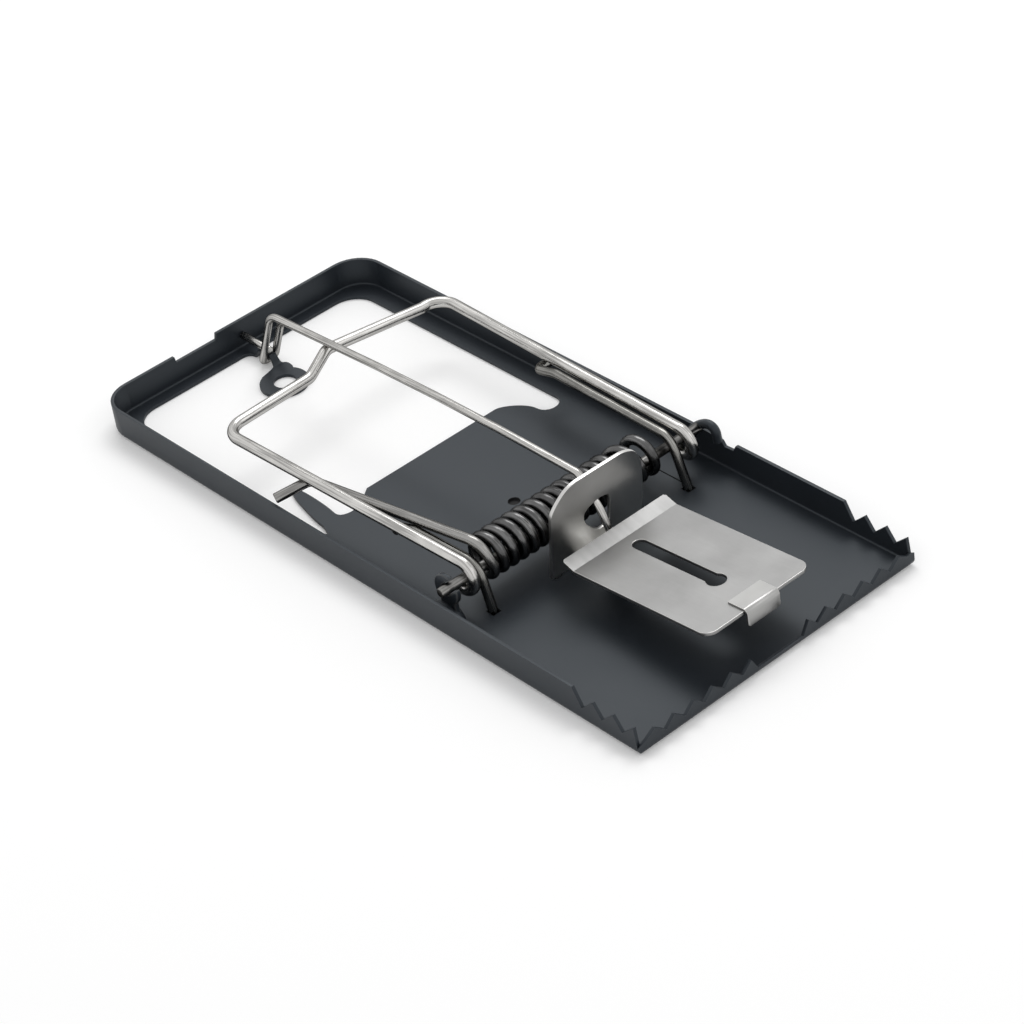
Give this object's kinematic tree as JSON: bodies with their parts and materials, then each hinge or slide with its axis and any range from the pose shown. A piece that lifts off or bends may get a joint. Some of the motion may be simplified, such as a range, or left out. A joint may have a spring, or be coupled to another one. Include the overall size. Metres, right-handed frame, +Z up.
{
  "type": "snap mouse trap",
  "caption": "Steel snap trap for mice, set: pressed tray with toothed walls, sprung wire bail, trip rod, and a bait pedal on a catch plate.",
  "frame": {"origin": "middle of the tray's underside", "axes": "+X from the back wall to the toothed front wall, +Y from the near long side with the spring's hook to the far one, +Z up"},
  "size_m": [0.114, 0.05, 0.0157],
  "materials": {
    "tray": "satin black lacquer, worn to bare steel on edges",
    "axle": "dull drawn steel",
    "bail": "bright tinned wire",
    "spring": "dark oiled spring steel",
    "lift_wire": "bright drawn wire",
    "rod": "satin drawn wire",
    "pin": "satin drawn wire",
    "plate": "bright sheet steel",
    "pedal": "satin sheet steel"
  },
  "bodies": {
    "base": {"base_tray": "tray", "axle": "axle", "lift_wire_near": "lift_wire", "lift_wire_far": "lift_wire", "keeper_pin": "pin"},
    "bail": {"bail": "bail", "torsion_spring": "spring"},
    "trip_rod": {"trip_rod": "rod"},
    "trigger": {"catch_plate": "plate", "bait_pedal": "pedal"}
  },
  "joints": [
    {"name": "bail_swing", "type": "hinge", "parent": "base", "child": "bail", "pos_m": [0.0182, 0, 0.00615], "axis": [0, 1, 0], "range_deg": [0, 180], "deforming": ["torsion_spring"]},
    {"name": "trip_rod_lift", "type": "hinge", "parent": "base", "child": "trip_rod", "pos_m": [-0.0504, 0.00115, 0.0006], "axis": [0, -1, 0], "range_deg": [0, 70]},
    {"name": "trigger_tilt", "type": "hinge", "parent": "base", "child": "trigger", "pos_m": [0.02235, 0, 0.0003], "axis": [0, 1, 0], "range_deg": [0, 8]}
  ]
}
